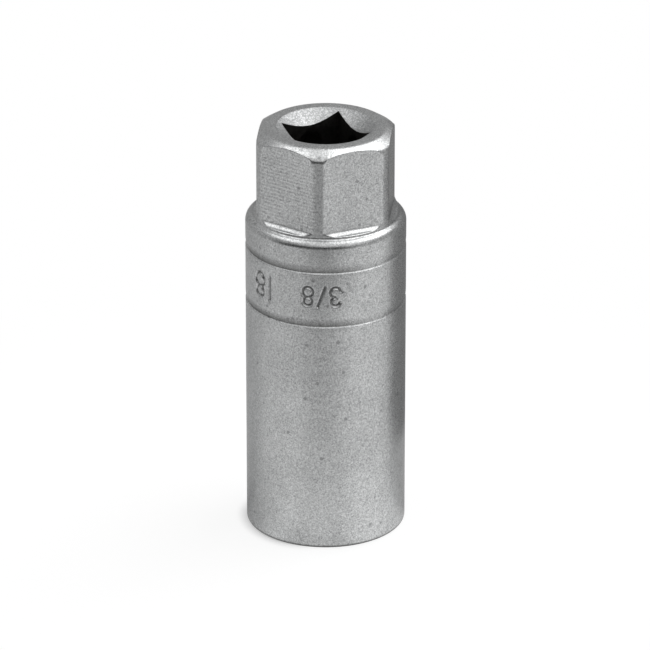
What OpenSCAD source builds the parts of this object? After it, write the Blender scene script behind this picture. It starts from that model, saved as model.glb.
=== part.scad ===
// Spark plug socket: a turned steel socket with a rubber sleeve that holds the plug.
// The open end stands on Z = 0 and the square drive is at the top. The drive square's
// walls face the X and Y axes.

/* [Plug recess] */
// Across-flats size of the plug's hexagon
plug_af = 18; // [14:0.5:24]
// Play between the recess and the plug's hexagon, across flats
plug_play = 0.15; // [0.05:0.05:0.4]
// Corner radius of the hexagon recess
recess_corner = 0.5; // [0.2:0.1:1]
// Depth of the hexagon recess from the open end
plug_depth = 15; // [10:0.5:20]
// Lead-in beyond the recess's corners, on the radius
lead_in = 0.3; // [0.1:0.1:0.8]

/* [Body] */
// Steel left outside the recess's corners
corner_wall = 1.6; // [1:0.1:3]
// Rounding of the outer edge at the open end
mouth_round = 0.45; // [0.2:0.05:0.8]
// Rounding of the shoulder under the drive head
shoulder_round = 1.25; // [0.6:0.05:1.5]

/* [Bore] */
// Diameter of the round bore above the recess
bore_d = 16.4; // [14:0.2:18]
// Straight length of the bore, which takes the plug's insulator
bore_h = 31.73; // [28:0.5:50]
// Point angle of the bore's end
bore_point = 118; // [90:2:140]
// Steel between the bore's end and the floor of the drive square
web = 3.4; // [2:0.1:6]

/* [Marking band] */
// Distance from the shoulder down to the upper groove's ledge
band_drop = 5.15; // [4:0.05:8]
// Distance between the two grooves' ledges
band_w = 8.65; // [6:0.05:12]
// Depth of each groove
groove_depth = 0.2; // [0.1:0.05:0.4]
// Height of each groove, from its ledge to where it fades out above
groove_h = 1.45; // [0.8:0.05:2]

/* [Drive head] */
// Across-flats size of the head's hexagon
head_af = 19.7; // [17:0.1:22]
// Height of the head above the shoulder
head_h = 13.75; // [10:0.05:20]
// How far the turned corners stand back from a sharp hexagon's corners
corner_trim = 0.45; // [0.1:0.05:0.8]
// Turn of the head's hexagon against the drive square, in degrees
head_turn = -5; // [-30:1:30]
// Distance from the flats in to the round top face
top_inset = 1; // [0.5:0.05:2]
// Slope of the chamfer round the top face, in degrees
top_slope = 30; // [15:1:45]
// Width of the bevel that the cutter leaves at the foot of the flats
mill_bevel = 0.55; // [0.2:0.05:0.9]
// Height above the shoulder at which the cutter stops
mill_stop = 0.35; // [0.1:0.05:0.6]
// How far the turned corners' feet reach out on the shoulder
foot_reach = 0.3; // [0.1:0.05:0.4]
// Softening of the top edges by blasting and plating
edge_soft = 0.35; // [0.1:0.05:0.5]

/* [Square drive] */
// Across-flats size of the drive square
drive_af = 9.7; // [6.4:0.1:10.5]
// Depth of the drive square from the top face
drive_depth = 11.5; // [9:0.5:16]
// Width of the floor ledge along the square's walls
floor_ledge = 0.2; // [0.1:0.05:0.6]
// Steel rim of the countersink beyond the square's corners
mouth_rim = 0.5; // [0.2:0.05:1]
// Point angle of the countersink
mouth_point = 112; // [80:2:140]
// Distance from the top face down to the detent dimples
detent_drop = 5; // [3.5:0.1:7]
// Diameter of a detent dimple where it meets the wall
detent_d = 4.4; // [2:0.1:6]
// Depth of a detent dimple
detent_depth = 1.1; // [0.5:0.1:1.5]

/* [Rubber grip] */
// Clearance between the grip and the bore
grip_fit = 0.1; // [0.05:0.05:0.3]
// Distance from the top of the recess to the grip
grip_rise = 3; // [1:0.5:6]
// Length of the grip
grip_len = 22; // [18:0.5:24]
// Inner diameter at the crests of the grip's ribs
grip_d = 10; // [8:0.2:11]
// Height of the ribs above the grip's inner wall
rib_h = 0.7; // [0.3:0.1:1.2]
// Section radius of the ribs
rib_r = 1.3; // [1:0.1:1.8]
// Number of ribs
rib_count = 3; // [1:1:4]
// Distance between ribs
rib_pitch = 5; // [4:0.1:6]
// Length of the funnel at the grip's lower end
funnel_h = 3; // [1:0.5:4]
// Rubber left round the funnel's mouth
funnel_lip = 1.2; // [0.6:0.1:2]
// Height of the bore's groove that the grip's bead sits in
bead_w = 3.2; // [2:0.1:5]
// Depth of that groove
bead_h = 0.9; // [0.4:0.1:1.2]

/* [Hidden] */
$fn = 96;
// How far joined shapes run into each other, and cutters run past a face
lap = 0.3;
past = 1;
// How far a corner's arc stands proud, so that it meets the flats in a clean edge
crest = 0.004;

recess_af = plug_af + plug_play;
recess_corner_r = corner_reach(recess_af, recess_corner);
lead_r = recess_corner_r + lead_in;
body_r = recess_corner_r + corner_wall;

bore_r = bore_d / 2;
web_r = drive_af / 2 - floor_ledge;
bore_top_z = plug_depth + bore_h;
bore_tip_h = (bore_r - web_r) / tan(bore_point / 2);
drive_floor_z = bore_top_z + bore_tip_h + web;
total_h = drive_floor_z + drive_depth;

shoulder_z = total_h - head_h;
upper_groove_z = shoulder_z - band_drop;
lower_groove_z = upper_groove_z - band_w;
groove_arc = (pow(groove_depth, 2) + pow(groove_h - groove_depth, 2)) / (2 * groove_depth);

head_corner_r = head_af / 2 / cos(30) - corner_trim;
foot_r = min(head_corner_r + 2 * foot_reach, body_r - shoulder_round / 2);
top_r = head_af / 2 - top_inset;

mouth_r = drive_af / sqrt(2) + mouth_rim;
detent_ball = (pow(detent_d / 2, 2) + pow(detent_depth, 2)) / (2 * detent_depth);

grip_z = plug_depth + grip_rise;
grip_r = bore_r - grip_fit;
grip_wall_r = grip_d / 2 + rib_h;

// Distance from the centre to the tip of a hexagon's rounded corner
function corner_reach(af, corner) = (af / 2 - corner) / cos(30) + corner + crest;

// Hexagon with rounded corners and one flat facing +Y
module rounded_hexagon(af, corner) {
    core = af / 2 - corner;
    side = 2 * core * tan(30);
    intersection() {
        circle(r = af / 2 / cos(30), $fn = 6);
        for (i = [0:5]) {
            rotate(60 * i) translate([-side / 2, 0]) square([side, af]);
            rotate(60 * i) translate([core / cos(30), 0]) circle(r = corner + crest);
        }
    }
}

// What a rounding takes off an outer corner that lies at the origin
module corner_waste(radius) {
    difference() {
        translate([-radius, -radius]) square(2 * radius);
        translate([-radius, -radius]) circle(r = radius);
    }
}

// What a marking groove takes off the body: a sharp ledge below, fading out above
module groove_waste() {
    difference() {
        polygon([
            [0, 0],
            [-groove_depth, groove_depth],
            [-groove_depth, groove_h],
            [past, groove_h],
            [past, 0]
        ]);
        translate([-groove_arc, groove_h]) circle(r = groove_arc, $fn = 360);
    }
}

// Half section of the round body, from the open end to the shoulder
module body_section() {
    difference() {
        square([body_r, shoulder_z]);
        translate([body_r, 0]) mirror([0, 1]) corner_waste(mouth_round);
        translate([body_r, shoulder_z]) corner_waste(shoulder_round);
        translate([body_r, lower_groove_z]) groove_waste();
        translate([body_r, upper_groove_z]) groove_waste();
    }
}

// Half section of what the chamfer takes off the head, with a soft edge at the top face
module chamfer_waste() {
    soft = edge_soft * tan(top_slope / 2);
    run = head_corner_r + past - top_r;
    difference() {
        polygon([
            [top_r - soft, total_h],
            [top_r + soft * cos(top_slope), total_h - soft * sin(top_slope)],
            [top_r + run, total_h - run * tan(top_slope)],
            [top_r + run, total_h + past],
            [top_r - soft, total_h + past]
        ]);
        translate([top_r - soft, total_h - edge_soft]) circle(r = edge_soft);
    }
}

// Half section of the head as it is turned, with a foot that spreads onto the shoulder
module head_section() {
    difference() {
        polygon([
            [0, shoulder_z - foot_reach],
            [foot_r, shoulder_z - foot_reach],
            [head_corner_r, shoulder_z + foot_reach],
            [head_corner_r, total_h],
            [0, total_h]
        ]);
        chamfer_waste();
    }
}

// What the cutter takes off the head for the flat that faces +Y, down to just above the shoulder
module flat_waste() {
    translate([-body_r, head_af / 2, shoulder_z + mill_stop])
        rotate([90, 0, 90])
            linear_extrude(2 * body_r)
                polygon([
                    [0, mill_bevel],
                    [mill_bevel, 0],
                    [body_r, 0],
                    [body_r, head_h + past],
                    [0, head_h + past]
                ]);
}

// Drive head: turned with the body, then milled to a hexagon whose corners stay round
module drive_head() {
    rotate(head_turn)
        difference() {
            rotate_extrude() head_section();
            for (i = [0:5]) {
                rotate(60 * i) flat_waste();
            }
        }
}

// Half section of what the countersink takes off, with a soft edge at its rim
module mouth_section() {
    slope = 90 - mouth_point / 2;
    soft = edge_soft * tan(slope / 2);
    difference() {
        polygon([
            [0, total_h - mouth_r * tan(slope)],
            [mouth_r - soft * cos(slope), total_h - soft * sin(slope)],
            [mouth_r + soft, total_h],
            [mouth_r + soft, total_h + past],
            [0, total_h + past]
        ]);
        translate([mouth_r + soft, total_h - edge_soft]) circle(r = edge_soft);
    }
}

// Square drive hole with its countersink and the dimples for the drive's ball
module drive_hole() {
    translate([-drive_af / 2, -drive_af / 2, drive_floor_z]) cube([drive_af, drive_af, drive_depth + past]);
    rotate_extrude() mouth_section();
    for (i = [0:3]) {
        rotate(90 * i)
            translate([drive_af / 2 + detent_depth - detent_ball, 0, total_h - detent_drop])
                sphere(r = detent_ball);
    }
}

// Recess for the plug's hexagon, the bore above it and the way through to the drive
module plug_cavity() {
    translate([0, 0, -past]) linear_extrude(plug_depth + past) rounded_hexagon(recess_af, recess_corner);
    rotate_extrude()
        polygon([
            [0, -past],
            [lead_r + past, -past],
            [bore_r, lead_r - bore_r],
            [bore_r, bore_top_z],
            [web_r, bore_top_z + bore_tip_h],
            [web_r, drive_floor_z + past],
            [0, drive_floor_z + past]
        ]);
    translate([0, 0, grip_z + grip_len / 2 - bead_w / 2]) cylinder(h = bead_w, r = bore_r + bead_h);
}

// Steel socket, forged and turned in one piece
module socket_body() {
    color([0.66, 0.66, 0.65])
        difference() {
            union() {
                rotate_extrude() body_section();
                drive_head();
            }
            plug_cavity();
            drive_hole();
        }
}

// Half section of the rubber grip, with its lower end on the axis line
module grip_section() {
    difference() {
        union() {
            translate([grip_wall_r, 0]) square([grip_r - grip_wall_r, grip_len]);
            translate([grip_r - lap, grip_len / 2 - bead_w / 2 + grip_fit])
                square([bead_h + lap, bead_w - 2 * grip_fit]);
            for (i = [0:rib_count - 1]) {
                translate([grip_d / 2 + rib_r, grip_len / 2 + (i - (rib_count - 1) / 2) * rib_pitch])
                    circle(r = rib_r);
            }
        }
        polygon([
            [0, -past],
            [grip_r - funnel_lip, -past],
            [grip_r - funnel_lip, 0],
            [grip_wall_r, funnel_h],
            [0, funnel_h]
        ]);
    }
}

// Rubber sleeve, moulded in one piece and pressed into the bore
module rubber_grip() {
    color([0.05, 0.05, 0.05])
        translate([0, 0, grip_z]) rotate_extrude() grip_section();
}

socket_body();
rubber_grip();
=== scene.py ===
# Spark plug socket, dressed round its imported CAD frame. Sizes are in millimetres and turns in
# degrees from +X, counter-clockwise seen from above, until a mesh or a light is placed.
import math

import bpy
import numpy as np
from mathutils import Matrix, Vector


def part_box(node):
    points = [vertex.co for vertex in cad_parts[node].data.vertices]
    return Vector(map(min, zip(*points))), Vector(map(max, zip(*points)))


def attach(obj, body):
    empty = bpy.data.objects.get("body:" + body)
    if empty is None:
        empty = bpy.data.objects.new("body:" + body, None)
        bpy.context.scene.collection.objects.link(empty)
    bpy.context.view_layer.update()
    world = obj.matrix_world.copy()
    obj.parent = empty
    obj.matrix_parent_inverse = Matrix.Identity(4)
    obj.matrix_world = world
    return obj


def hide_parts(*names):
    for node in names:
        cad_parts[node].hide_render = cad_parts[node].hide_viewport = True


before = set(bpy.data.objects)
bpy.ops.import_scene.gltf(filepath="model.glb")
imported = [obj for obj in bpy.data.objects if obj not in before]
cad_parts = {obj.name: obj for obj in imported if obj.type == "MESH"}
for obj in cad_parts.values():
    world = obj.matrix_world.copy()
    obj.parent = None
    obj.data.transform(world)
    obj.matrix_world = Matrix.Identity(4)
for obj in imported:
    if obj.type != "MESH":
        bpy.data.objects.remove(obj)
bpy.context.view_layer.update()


# Socket body, outside
# Alloy steel, forged and turned in one piece: a round body with two marking grooves and a
# hexagonal drive head. The edges are softened by blasting before the satin chrome goes on.
MM = 0.001
node_low, node_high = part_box("socket_body")
body_r = min(node_high.x, node_high.y, -node_low.x, -node_low.y) / MM
total_h = node_high.z / MM
head_h = 13.75
shoulder_z = total_h - head_h
shoulder_round = 1.25
mouth_round = 0.45

# The camera stands at camera_turn, from which the marks, the lamps and the floor's pools are
# counted. The hexagon has a corner at head_turn.
camera_turn = -119
head_turn = -5
coarse_step, corner_half = 1.25, 5
mark_sectors = [(camera_turn - 49.5, 12), (camera_turn - 3, 15)]


def turn_between(turn, other):
    """Smallest turn from one direction to another, without its sign."""
    return np.abs((turn - other + 180) % 360 - 180)


def cells_at(start):
    """How many columns one coarse step is cut into: most on the marks, some on the corners."""
    middle = start + coarse_step / 2
    if any(turn_between(middle, at) < half for at, half in mark_sectors):
        return 4
    return 2 if turn_between(6 * (middle - head_turn), 0) < 6 * corner_half else 1


turns = np.concatenate([
    start + coarse_step * np.arange(cells_at(start)) / cells_at(start)
    for start in np.arange(0, 360, coarse_step)
])
plain = np.ones_like(turns)

# A ring is the radius and the height of every column; the rings run up the outside of the
# socket, over the top and down the inside, and close on themselves.
rings = []


def add_ring(radius, height):
    rings.append((radius * plain, height * plain))


def soft_corner(before, corner, after, rounding, steps=4):
    """Rounds a corner of the section, which is given as (radius, height) points."""
    before, corner, after = (np.array([r * plain, z * plain]) for r, z in (before, corner, after))
    to_before, to_after = before - corner, after - corner
    reach_before, reach_after = np.hypot(*to_before), np.hypot(*to_after)
    cos_corner = (to_before * to_after).sum(axis=0) / (reach_before * reach_after)
    run = rounding / np.tan(np.arccos(np.clip(cos_corner, -1, 1)) / 2)
    run = np.minimum(run, 0.45 * np.minimum(reach_before, reach_after))
    start = corner + to_before * run / reach_before
    end = corner + to_after * run / reach_after
    for t in np.linspace(0, 1, steps + 1):
        add_ring(*((1 - t) ** 2 * start + 2 * t * (1 - t) * corner + t ** 2 * end))


def smooth_rise(value, start, end):
    """0 before start, 1 after end, and a smooth step between them."""
    t = np.clip((value - start) / (end - start), 0, 1)
    return t * t * (3 - 2 * t)


# Marks on the band: plain size numerals, struck with punches before plating. They read with
# the drive end down, so they stand on their heads here.
stroke_half = 0.32
stroke_depth = 0.3


def straight(u, v, start, end):
    """Distance to a straight stroke."""
    along = np.subtract(end, start)
    t = ((u - start[0]) * along[0] + (v - start[1]) * along[1]) / (along @ along)
    t = np.clip(t, 0, 1)
    return np.hypot(u - start[0] - t * along[0], v - start[1] - t * along[1])


def bowl(u, v, centre_v, radius, first=-180, sweep=360):
    """Distance to a round stroke, drawn counter-clockwise from its first direction."""
    du, dv = u, v - centre_v
    past = np.clip((np.degrees(np.arctan2(dv, du)) - first) % 360, 0, 360)
    over = np.where(past - sweep < 360 - past, sweep, 0)
    held = np.radians(first + np.where(past <= sweep, past, over))
    return np.hypot(du - radius * np.cos(held), dv - radius * np.sin(held))


def numeral(sign, u, v, tall):
    """Distance to a numeral's strokes, with u to its right and v up from its foot."""
    if sign == "1":
        return straight(u, v, (0, 0), (0, tall))
    if sign == "/":
        return straight(u, v, (-0.2 * tall, -0.05 * tall), (0.2 * tall, 1.05 * tall))
    lower, upper = 0.275 * tall, 0.225 * tall
    if sign == "8":
        return np.minimum(bowl(u, v, lower, lower), bowl(u, v, tall - upper, upper))
    return np.minimum(
        bowl(u, v, lower, lower, -165, 255),
        bowl(u, v, tall - upper, upper, -90, 255),
    )


marks = [
    ("1", camera_turn - 44.0, 3.7),
    ("8", camera_turn - 54.6, 3.7),
    ("3", camera_turn + 7.0, 2.9),
    ("/", camera_turn - 3.0, 2.9),
    ("8", camera_turn - 13.0, 2.9),
]


def stamped(radius, height, middle):
    """Radius of the band at a height, with the marks pressed into it."""
    gap = np.full_like(turns, np.inf)
    for sign, turn, tall in marks:
        u = -np.radians((turns - turn + 180) % 360 - 180) * body_r
        v = middle - height + tall / 2
        near = np.abs(u) < tall
        gap[near] = np.minimum(gap[near], numeral(sign, u[near], v, tall))
    return radius - stroke_depth * np.clip(1 - gap / stroke_half, 0, 1)


# Open end and the plain part of the body
plug_af, plug_depth = 18.15, 15
lead_r, lead_soft = body_r - 1.3, 0.06
body_foot = (body_r, 0)
soft_corner((lead_r - 1, 1), (lead_r, 0), body_foot, lead_soft)
band_drop, band_w, groove_depth, groove_h = 5.15, 8.65, 0.2, 1.45
upper_groove_z = shoulder_z - band_drop
lower_groove_z = upper_groove_z - band_w
soft_corner((lead_r, 0), body_foot, (body_r, lower_groove_z), mouth_round, 6)
for z in np.linspace(4, lower_groove_z - 1, 7):
    add_ring(body_r, z)


# Marking grooves, each with a crisp ledge below and a long fade above it
ledge_soft, bottom_soft = 0.07, 0.05


def groove(ledge_z):
    fade_r = (groove_depth ** 2 + (groove_h - groove_depth) ** 2) / (2 * groove_depth)
    ledge = (body_r, ledge_z)
    bottom = (body_r - groove_depth, ledge_z + groove_depth)
    fade_foot = (body_r - 0.8 * groove_depth, ledge_z + groove_depth + 0.1)
    soft_corner((body_r, ledge_z - 1), ledge, bottom, ledge_soft, 3)
    soft_corner(ledge, bottom, fade_foot, bottom_soft, 2)
    for rise in np.linspace(0.15, 1, 7) * (groove_h - groove_depth):
        left = groove_h - groove_depth - rise
        radius = body_r - fade_r + math.sqrt(fade_r ** 2 - left ** 2)
        add_ring(radius, ledge_z + groove_depth + rise)


groove(lower_groove_z)
band_middle = (lower_groove_z + groove_h + upper_groove_z) / 2
mark_reach, mark_rings = 2.15, 54
for off in np.linspace(-mark_reach, mark_reach, mark_rings):
    add_ring(stamped(body_r, band_middle + off, band_middle), band_middle + off)
groove(upper_groove_z)


# Shoulder and drive head: turned with the body, then milled to a hexagon whose corners stay
# round. The shoulder's rounding runs over into the fillet at the head's foot.
def soft_minimum(a, b, blend):
    """The smaller of two values, rounded off where they are closer than the blend."""
    near = np.maximum(blend - np.abs(a - b), 0)
    return np.minimum(a, b) - near ** 2 / (4 * blend)


head_af, corner_trim, corner_blend = 19.7, 0.45, 0.12
foot_round, mill_bevel, mill_stop = 0.4, 0.55, 0.35
corner_r = head_af / 2 / math.cos(math.radians(30)) - corner_trim
flat_cos = np.cos(np.radians(turn_between(6 * (turns - head_turn), 180) / 6))


def head_ring(out, rise):
    """Adds a ring of the hexagon, with its flats further out than the finished ones."""
    flats = (head_af / 2 + out) / flat_cos
    add_ring(soft_minimum(flats, corner_r, corner_blend), shoulder_z + mill_stop + rise)


round_from = body_r - shoulder_round
foot_from = corner_r + foot_round
centre_gap = shoulder_round + foot_round
foot_rise = math.sqrt(centre_gap ** 2 - (foot_from - round_from) ** 2) - shoulder_round
foot_turn = math.atan2(foot_rise + shoulder_round, foot_from - round_from)
for turned in np.linspace(0, foot_turn, 10):
    add_ring(
        round_from + shoulder_round * math.cos(turned),
        shoulder_z + shoulder_round * (math.sin(turned) - 1),
    )
for turned in np.linspace(foot_turn, 0, 10)[1:]:
    add_ring(
        foot_from - foot_round * math.cos(turned),
        shoulder_z + foot_rise - foot_round * math.sin(turned),
    )

# Foot of the flats: a narrow ledge where the cutter stopped, then a slightly hollow bevel
crease = 0.03
ledge_out, hollow_out, hollow_rise = 0.7, 0.36, 0.09
add_ring(corner_r, shoulder_z + mill_stop - crease)
for t in np.linspace(0, 1, 7):
    hollow = 2 * t * (1 - t)
    out = (1 - t) ** 2 * ledge_out + hollow * hollow_out
    head_ring(out, hollow * hollow_rise + t ** 2 * mill_bevel)
head_ring(0, mill_bevel + crease)

# Turned chamfer round the top, which runs over into the top face in a small rounding. Its outer
# edge is worn rounder at the corners than along the flats.
head_edge = rings[-1][0]
chamfer_in, crown_round, flat_wear, corner_wear = 0.85, 1.3, 0.18, 1.0
top_r = head_af / 2 - chamfer_in
top_slope = math.tan(math.radians(31.9))
worn_edge = flat_wear + corner_wear * smooth_rise(head_edge, corner_r - 0.25, corner_r - 0.05)
chamfer_foot = (head_edge, total_h - (head_edge - top_r) * top_slope)
soft_corner((head_edge, shoulder_z + head_h / 2), chamfer_foot, (top_r, total_h), worn_edge)
drive_af, mouth_margin = 9.7, 0.5
mouth_r = drive_af / math.sqrt(2) + mouth_margin
top_edge, top_rim = (top_r, total_h), (mouth_r, total_h)
soft_corner(chamfer_foot, top_edge, top_rim, crown_round, 6)


# Socket body, inside
# The drive square is broached below a turned countersink, with a dimple in each wall for the
# drive's ball. Below it are the drilled bore and the broached recess, left dark from the furnace.
mouth_slope = math.tan(math.radians(34))
mouth_soft, square_soft, drive_depth = 0.35, 0.1, 11.5
from_wall = np.radians(turn_between(4 * turns, 0) / 4)
square_edge = drive_af / 2 / np.cos(from_wall)
mouth_foot = (square_edge, total_h - (mouth_r - square_edge) * mouth_slope)
drive_floor_z = total_h - drive_depth
soft_corner(top_edge, top_rim, mouth_foot, mouth_soft)
soft_corner(top_rim, mouth_foot, (square_edge, drive_floor_z), square_soft)

# The dark finish starts in the middle of the square's rounded edge.
plated_rings = len(rings) - 3

detent_z, detent_d, detent_depth = total_h - 5, 4.4, 1.1
detent_reach, detent_rings = 2.3, 18
detent_ball = ((detent_d / 2) ** 2 + detent_depth ** 2) / (2 * detent_depth)
detent_in = drive_af / 2 + detent_depth - detent_ball
for off in np.linspace(detent_reach, -detent_reach, detent_rings):
    ball = detent_ball ** 2 - off ** 2 - (detent_in * np.sin(from_wall)) ** 2
    ball_reach = detent_in * np.cos(from_wall) + np.sqrt(np.maximum(ball, 0))
    add_ring(np.where(ball > 0, np.maximum(square_edge, ball_reach), square_edge), detent_z + off)

bore_r, bore_h, drill_point = 8.2, 31.73, math.radians(59)
bore_top_z = plug_depth + bore_h
web_r = drive_af / 2 - 0.2
web_low_z = bore_top_z + (bore_r - web_r) / math.tan(drill_point)
bead_z, bead_w, bead_h = plug_depth + 14, 3.2, 0.9
recess_cos = np.cos(np.radians(turn_between(6 * turns, 180) / 6))
recess_corner_r, recess_blend, inner_soft = lead_r - 0.3, 0.1, 0.08
recess_edge = soft_minimum(plug_af / 2 / recess_cos, recess_corner_r, recess_blend)
section = [
    (square_edge, detent_z - detent_reach),
    (square_edge, drive_floor_z),
    (web_r, drive_floor_z),
    (web_r, web_low_z),
    (bore_r, bore_top_z),
    (bore_r, bead_z + bead_w / 2),
    (bore_r + bead_h, bead_z + bead_w / 2),
    (bore_r + bead_h, bead_z - bead_w / 2),
    (bore_r, bead_z - bead_w / 2),
    (bore_r, plug_depth),
    (recess_edge, plug_depth),
    (recess_edge, lead_r - recess_edge),
    (lead_r, 0),
]
for before, corner, after in zip(section, section[1:], section[2:]):
    soft_corner(before, corner, after, inner_soft, 2)

radii, heights = (np.array(values) for values in zip(*rings))
columns = np.radians(turns)
points = np.stack([radii * np.cos(columns), radii * np.sin(columns), heights], axis=2)
ring_count, column_count = radii.shape
index = np.arange(ring_count * column_count).reshape(ring_count, column_count)
above, beside = np.roll(index, -1, axis=0), np.roll(index, -1, axis=1)
faces = np.stack([index, beside, np.roll(above, -1, axis=1), above], axis=2).reshape(-1, 4)
body_mesh = bpy.data.meshes.new("socket_steel")
body_mesh.from_pydata(points.reshape(-1, 3) * MM, [], faces.tolist())
body_mesh.polygons.foreach_set("use_smooth", np.ones(len(faces), bool))
inner = np.zeros((ring_count, column_count), np.int32)
inner[plated_rings:] = 1
body_mesh.polygons.foreach_set("material_index", inner.ravel())

# How deep each point of the body lies below its plain surface, for the painted shade in the
# grooves and in the core of the marks. The grooves' ledges are left unshaded.
groove_fall, core_from, core_shade = 0.35, 0.4, 0.8
sunk = np.clip((body_r - radii) / groove_depth, 0, 1) ** groove_fall
beyond = (heights > shoulder_z - shoulder_round) | (heights < lower_groove_z)
sunk[beyond | (radii < bore_r + bead_h)] = 0
on_band = (heights > lower_groove_z + groove_h) & (heights < upper_groove_z)
struck = (body_r - radii[on_band]) / stroke_depth
sunk[on_band] = np.clip(2 * (struck - core_from), 0, core_shade)
for ledge_z in (lower_groove_z, upper_groove_z):
    sunk[(heights >= ledge_z) & (heights < ledge_z + 0.9 * groove_depth)] = 0
body_mesh.attributes.new("sunk", "FLOAT", "POINT").data.foreach_set("value", sunk.ravel())
body_mesh.validate()
socket_steel = bpy.data.objects.new("socket_steel", body_mesh)
bpy.context.scene.collection.objects.link(socket_steel)
flat_faces = socket_steel.modifiers.new("flat_faces", "WEIGHTED_NORMAL")
flat_faces.weight = 50
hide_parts("socket_body")
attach(socket_steel, "root")


# Satin chrome
# Bead-blasted steel under a thin chrome plate: a pale grey metal with a fine sparkle, a few dark
# pits, and faint cutter lines left on one of the head's flats.
class Wire:
    """An output in a material's node tree. Arithmetic on wires adds Math nodes."""

    def __init__(self, tree, socket=None):
        self.tree, self.socket = tree, socket

    def node(self, kind, settings=None, inputs=None, output=0):
        made = self.tree.nodes.new(kind)
        for name, value in (settings or {}).items():
            setattr(made, name, value)
        for name, value in (inputs or {}).items():
            if isinstance(value, Wire):
                self.tree.links.new(value.socket, made.inputs[name])
            else:
                made.inputs[name].default_value = value
        return Wire(self.tree, made.outputs[output] if made.outputs else None)

    def maths(self, operation, *terms):
        return self.node("ShaderNodeMath", {"operation": operation}, dict(enumerate(terms)))

    def __add__(self, other):
        return self.maths("ADD", self, other)

    def __sub__(self, other):
        return self.maths("SUBTRACT", self, other)

    def __rsub__(self, other):
        return self.maths("SUBTRACT", other, self)

    def __mul__(self, other):
        return self.maths("MULTIPLY", self, other)

    __radd__, __rmul__ = __add__, __mul__

    def rise(self, start, end, low=0.0, high=1.0):
        """A smooth step from low to high as this value goes from start to end."""
        return self.node(
            "ShaderNodeMapRange",
            {"interpolation_type": "SMOOTHSTEP"},
            {"Value": self, "From Min": start, "From Max": end, "To Min": low, "To Max": high},
        )

    def stretched(self, x, y, z):
        """This place in space, scaled along each axis."""
        return self.node(
            "ShaderNodeVectorMath", {"operation": "MULTIPLY"}, {0: self, 1: (x, y, z)}
        )

    def along(self, direction):
        """How far this place or direction reaches along another direction."""
        return self.node(
            "ShaderNodeVectorMath",
            {"operation": "DOT_PRODUCT"},
            {0: self, 1: direction},
            output="Value",
        )

    def noise(self, scale, detail=2.0, rough=0.5):
        """Cloudy noise at this place, with a given number of features to the metre."""
        return self.node(
            "ShaderNodeTexNoise",
            {},
            {"Vector": self, "Scale": scale, "Detail": detail, "Roughness": rough},
        )

    def tinted(self, dark, pale):
        """A colour between dark, where this value is 0, and pale, where it is 1."""
        dark, pale = (c if isinstance(c, Wire) else (*c, 1) for c in (dark, pale))
        return self.node(
            "ShaderNodeMix", {"data_type": "RGBA"}, {0: self, 6: dark, 7: pale}, output=2
        )

    def blended(self, first, second):
        """A shader that is the first where this value is 0 and the second where it is 1."""
        return self.node("ShaderNodeMixShader", {}, {0: self, 1: first, 2: second})


def new_finish(name):
    """A new material with an empty tree, as (material, wire to build from)."""
    material = bpy.data.materials.new(name)
    material.use_nodes = True
    material.node_tree.nodes.clear()
    return material, Wire(material.node_tree)


satin_chrome, build = new_finish("satin_chrome")
place = build.node("ShaderNodeTexCoord", output="Object")
grain = place.noise(4200, 3, 0.65)
sparkle = place.noise(9000, 1)
mottle = place.noise(2200, 2)
cloud = place.noise(160, 3)
height = place.along((0, 0, 1))
left_flat = math.radians(camera_turn - 36)
towards_left = place.along((math.cos(left_flat), math.sin(left_flat), 0))
on_head = height.rise((shoulder_z + 1.2) * MM, (shoulder_z + 1.8) * MM)
on_flat = towards_left.rise((head_af / 2 - 0.45) * MM, (head_af / 2 - 0.05) * MM)
milled = on_head * on_flat * place.noise(200).rise(0.3, 0.55)
cutter_pitch = 0.552 * MM
cutter = build.maths("SINE", height * (math.tau / cutter_pitch) + place.noise(350) * 2)
pit_cell = build.node(
    "ShaderNodeTexVoronoi", {}, {"Vector": place, "Scale": 420.0}, output="Distance"
)
pits = (1 - pit_cell.rise(0.05, 0.15)) * place.noise(300).rise(0.45, 0.55)

# The countersink is blasted harder than the rest, and its tone is lowered as painted shade.
# Painted shade darkens the band's recesses on one side, and a line round the foot.
from_axis = build.node(
    "ShaderNodeVectorMath", {"operation": "LENGTH"}, {0: place.stretched(1, 1, 0)}, output="Value"
)
in_mouth = from_axis.rise((mouth_r - 0.1) * MM, (mouth_r + 0.1) * MM, 1, 0)
shaded_side_turn = math.radians(camera_turn - 50)
# Painted shade: the band's recesses are darkened on the camera's left and in front, not on the
# right.
shaded_side = place.along((math.cos(shaded_side_turn), math.sin(shaded_side_turn), 0)).rise(-2 * MM, 7 * MM)
# Painted shade: a dark line round the foot, fading out up its rounding.
foot_shade = height.rise(0.2 * MM, 1.3 * mouth_round * MM, 1, 0)
recessed = build.node("ShaderNodeAttribute", {"attribute_name": "sunk"}, output="Fac")
painted_shade = recessed * shaded_side + foot_shade
relief = (grain + sparkle * 0.5) * (1 + in_mouth) + milled * cutter * 0.5 - pits * 1.2
bumped = build.node(
    "ShaderNodeBump", {}, {"Strength": 0.8, "Distance": 0.02 * MM, "Height": relief}
)
speckle = (grain - 0.5) * 2.5 + (sparkle - 0.5) * 1.4 + (mottle - 0.5) * 0.7
tone = 0.5 + speckle * (0.93 + on_head * 0.07 + in_mouth * 0.5) + (cloud - 0.5) * 0.5
# Cutter lines and pits mark the tone. The countersink's tone is lowered as painted shade.
tone = tone + milled * cutter * 0.15 - pits * 0.9 - in_mouth * 0.3
plate_dark, plate_pale = (0.252, 0.256, 0.257), (0.565, 0.572, 0.574)
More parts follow.
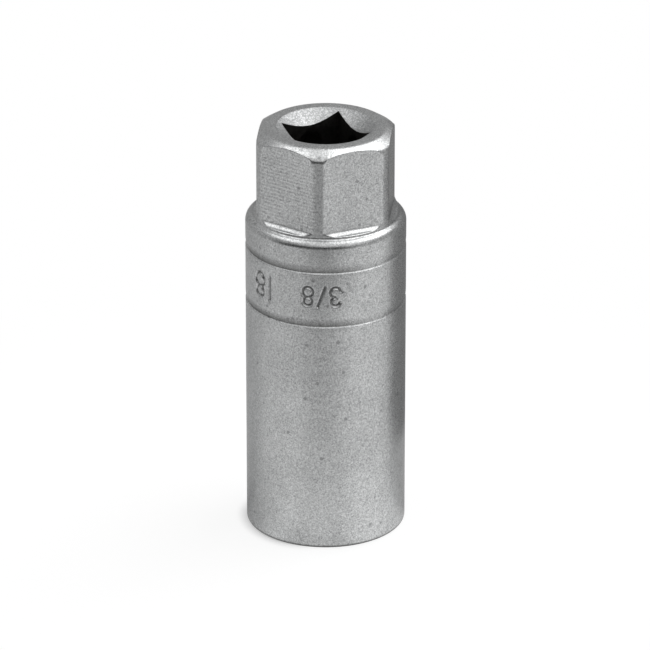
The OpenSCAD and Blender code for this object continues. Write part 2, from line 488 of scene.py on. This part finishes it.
# The dark grey that the painted shade mixes into the plate's colour.
shade_grey, edge_tint = (0.06, 0.06, 0.058), 0.7
plate = tone.tinted(plate_dark, plate_pale)
steel = build.node(
    "ShaderNodeBsdfPrincipled",
    {},
    {
        # The plate's tone, darkened towards a dark grey where the shade is painted.
        "Base Color": (painted_shade * 0.8).tinted(plate, shade_grey),
        "Metallic": 1.0,
        "Specular Tint": (edge_tint, edge_tint, edge_tint, 1),
        "Roughness": sparkle.rise(0.3, 0.7, 0.36, 0.24) + in_mouth * 0.2,
        "Normal": bumped,
    },
)
build.node("ShaderNodeOutputMaterial", {}, {"Surface": steel})
body_mesh.materials.append(satin_chrome)

# Dark bore: the broached and drilled inside, which the plating hardly reaches.
dark_bore, build = new_finish("dark_bore")
place = build.node("ShaderNodeTexCoord", output="Object")
scale_patches = place.noise(700, 4, 0.6)
broached = place.stretched(1800, 1800, 90).noise(1, 2)
scale_black, scale_brown = (0.012, 0.011, 0.010), (0.045, 0.042, 0.04)
bumped = build.node(
    "ShaderNodeBump",
    {},
    {"Strength": 0.4, "Distance": 0.02 * MM, "Height": broached + scale_patches * 0.6},
)
furnace_black = build.node(
    "ShaderNodeBsdfPrincipled",
    {},
    {
        "Base Color": scale_patches.rise(0.3, 0.75).tinted(scale_black, scale_brown),
        "Metallic": 0.8,
        "Roughness": scale_patches.rise(0.2, 0.8, 0.6, 0.42),
        "Normal": bumped,
    },
)
build.node("ShaderNodeOutputMaterial", {}, {"Surface": furnace_black})
body_mesh.materials.append(dark_bore)


# Rubber grip
# A sleeve of black rubber, moulded in one piece with three inner ribs and a locating bead, and
# pressed into the bore. It keeps its CAD shape.
black_rubber, build = new_finish("black_rubber")
place = build.node("ShaderNodeTexCoord", output="Object")
moulded = place.noise(2600, 3, 0.6)
bloom = place.noise(240, 3)
bumped = build.node(
    "ShaderNodeBump", {}, {"Strength": 0.35, "Distance": 0.03 * MM, "Height": moulded}
)
rubber = build.node(
    "ShaderNodeBsdfPrincipled",
    {},
    {
        "Base Color": bloom.rise(0.35, 0.75).tinted((0.014, 0.014, 0.014), (0.035, 0.034, 0.033)),
        "Roughness": bloom.rise(0.3, 0.7, 0.5, 0.66),
        "Normal": bumped,
    },
)
build.node("ShaderNodeOutputMaterial", {}, {"Surface": rubber})
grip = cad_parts["rubber_grip"]
grip.data.materials.clear()
grip.data.materials.append(black_rubber)


# Floor
# A sheet of white paper. The lens sees it white but for the socket's shadow, which is deepest on
# the left of the foot, where the paper's own glow is turned down. The metal sees it as the lamps
# light it, with painted pools of light that glow near the foot, in front on the right and far
# left.
def around(turn, distance, height):
    """A point at a turn to the right of the camera's own direction, in metres."""
    a = math.radians(camera_turn + turn)
    return Vector((distance * math.cos(a), distance * math.sin(a), height))


bpy.ops.mesh.primitive_plane_add(size=0.6)
floor = bpy.context.object
floor.name = "floor"
white_paper, build = new_finish("white_paper")
place = build.node("ShaderNodeTexCoord", output="Object")
reach = build.node("ShaderNodeVectorMath", {"operation": "LENGTH"}, {0: place}, output="Value")
bearing = build.node("ShaderNodeVectorMath", {"operation": "NORMALIZE"}, {0: place})
# Painted pools of light: glow added to the paper where the metal sees it.
near_pool = bearing.along(around(12, 1, 0)).rise(-0.1, 0.7) * (
    reach.rise(0.012, 0.045, 0.25, 0) + reach.rise(0.05, 0.1, 0.1, 0)
)
right_pool = bearing.along(around(55, 1, 0)).rise(0.7, 0.95) * (
    reach.rise(0.1, 0.12, 0.24, 0.36) * reach.rise(0.15, 0.2, 1, 0)
)
left_pool = bearing.along(around(-62, 1, 0)).rise(0.75, 0.95) * (
    reach.rise(0.065, 0.09, 0.24, 0) + reach.rise(0.105, 0.13, 0, 0.28)
)
pools = near_pool + right_pool + left_pool
lit = build.node("ShaderNodeBsdfDiffuse", {}, {"Color": (0.92, 0.92, 0.92, 1)})
painted_pool_glow = build.node("ShaderNodeEmission", {}, {"Color": pools.tinted((0, 0, 0), (1, 1, 1))})
paper = build.node("ShaderNodeAddShader", {}, {0: lit, 1: painted_pool_glow})


def part_lit(grey, glow):
    """Paper that takes light and shadow as a grey does, and glows by itself for the rest."""
    shaded = build.node("ShaderNodeBsdfDiffuse", {}, {"Color": (grey, grey, grey, 1)})
    glowing = build.node("ShaderNodeEmission", {}, {"Strength": glow})
    return build.node("ShaderNodeAddShader", {}, {0: shaded, 1: glowing})


# Left of the foot the paper's glow is turned down, so that the lamps' shadow shows deeper there.
on_left = bearing.along(around(-65, 1, 0)).rise(0.5, 0.95)
contact = on_left * reach.rise(0.0118, 0.0138, 1, 0)
by_foot = contact.blended(part_lit(0.2, 0.85), part_lit(0.7, 0.35))
far = build.node("ShaderNodeEmission", {}, {"Strength": 1.0})
seen = reach.rise(0.03, 0.09).blended(by_foot, far)
to_lens = build.node("ShaderNodeLightPath", output="Is Camera Ray")
build.node("ShaderNodeOutputMaterial", {}, {"Surface": to_lens.blended(paper, seen)})
floor.data.materials.append(white_paper)


# Studio light
# Three soft boxes, high on the right, on the left and behind, in a white tent that is brightest
# overhead and open towards the camera. Two grey flags shape the reflections in the metal.
def face(thing, target):
    thing.rotation_euler = (target - thing.location).to_track_quat("-Z", "Y").to_euler()


middle = Vector((0, 0, total_h / 2 * MM))
for name, spot, size, brightness in [
    ("right_box", around(102, 0.25, 0.50), 0.49, 2.2),
    ("left_box", around(-97, 0.25, 0.487), 0.32, 1.85),
    ("rear_box", around(125, 0.42, 0.36), 0.36, 1.35),
]:
    lamp = bpy.data.objects.new(name, bpy.data.lights.new(name, "AREA"))
    lamp.data.shape = "DISK"
    lamp.data.size = size
    disc_area = math.pi * (size / 2) ** 2
    lamp.data.energy = brightness * math.pi * disc_area
    lamp.location = spot
    face(lamp, middle)
    bpy.context.scene.collection.objects.link(lamp)

tent = bpy.data.worlds.new("tent")
bpy.context.scene.world = tent
tent.use_nodes = True
tent.node_tree.nodes.clear()
build = Wire(tent.node_tree)
to_lens = build.node("ShaderNodeLightPath", output="Is Camera Ray")
glossy = build.node("ShaderNodeLightPath", output="Is Glossy Ray")
through = build.node("ShaderNodeLightPath", output="Is Transmission Ray")
direction = build.node("ShaderNodeTexCoord", output="Generated")
up = direction.along((0, 0, 1))
mirrored = build.maths("MAXIMUM", glossy, through)
doorway = up.rise(0.3, 0.55, 1, 0) * direction.along(around(-19, 1, 0)).rise(0.4, 0.8)
bright_side = direction.along(around(30, 0.43, 0.9)).rise(0.55, 0.95, 0.62, 1.22)
white_tent = bright_side * (1 - doorway * 0.97)
fill = 0.36
strength = to_lens + (1 - to_lens) * (mirrored * white_tent + (1 - mirrored) * fill)
tent_light = build.node("ShaderNodeBackground", {}, {"Color": (1, 1, 1, 1), "Strength": strength})
build.node("ShaderNodeOutputWorld", {}, {"Surface": tent_light})

for name, turn, distance, width, low, high, grey in [
    ("lens_flag", -6, 0.10, 0.05, 0, 0.035, 0.5),
    ("rear_flag", 122, 0.027, 0.035, 0.005, 0.066, 0.37),
]:
    bpy.ops.mesh.primitive_plane_add(size=1)
    flag = bpy.context.object
    flag.name = name
    flag.scale = (width, high - low, 1)
    flag.location = around(turn, distance, (low + high) / 2)
    face(flag, Vector((0, 0, (low + high) / 2)))
    flag.visible_camera = False
    flag.visible_diffuse = False
    flag.visible_shadow = False
    flag_card, build = new_finish(name)
    card = build.node("ShaderNodeEmission", {}, {"Color": (grey, grey, grey, 1)})
    build.node("ShaderNodeOutputMaterial", {}, {"Surface": card})
    flag.data.materials.append(flag_card)


# Camera
# A long lens, a little above the socket, at the photograph's viewing angle.
focal_px, frame_px = 5546, 650
lens_distance, lens_rise = 0.83266, math.radians(24.162)
axis_offset_px = 0.761
aim = Vector((0, 0, 31.43 * MM))
camera_data = bpy.data.cameras.new("camera")
camera_data.sensor_width = 36
camera_data.lens = focal_px * camera_data.sensor_width / frame_px
camera_data.shift_x = -axis_offset_px / frame_px
camera = bpy.data.objects.new("camera", camera_data)
lens_out, lens_up = lens_distance * math.cos(lens_rise), lens_distance * math.sin(lens_rise)
camera.location = aim + around(0, lens_out, lens_up)
face(camera, aim)
bpy.context.scene.collection.objects.link(camera)
bpy.context.scene.camera = camera
bpy.context.scene.view_settings.view_transform = "Standard"
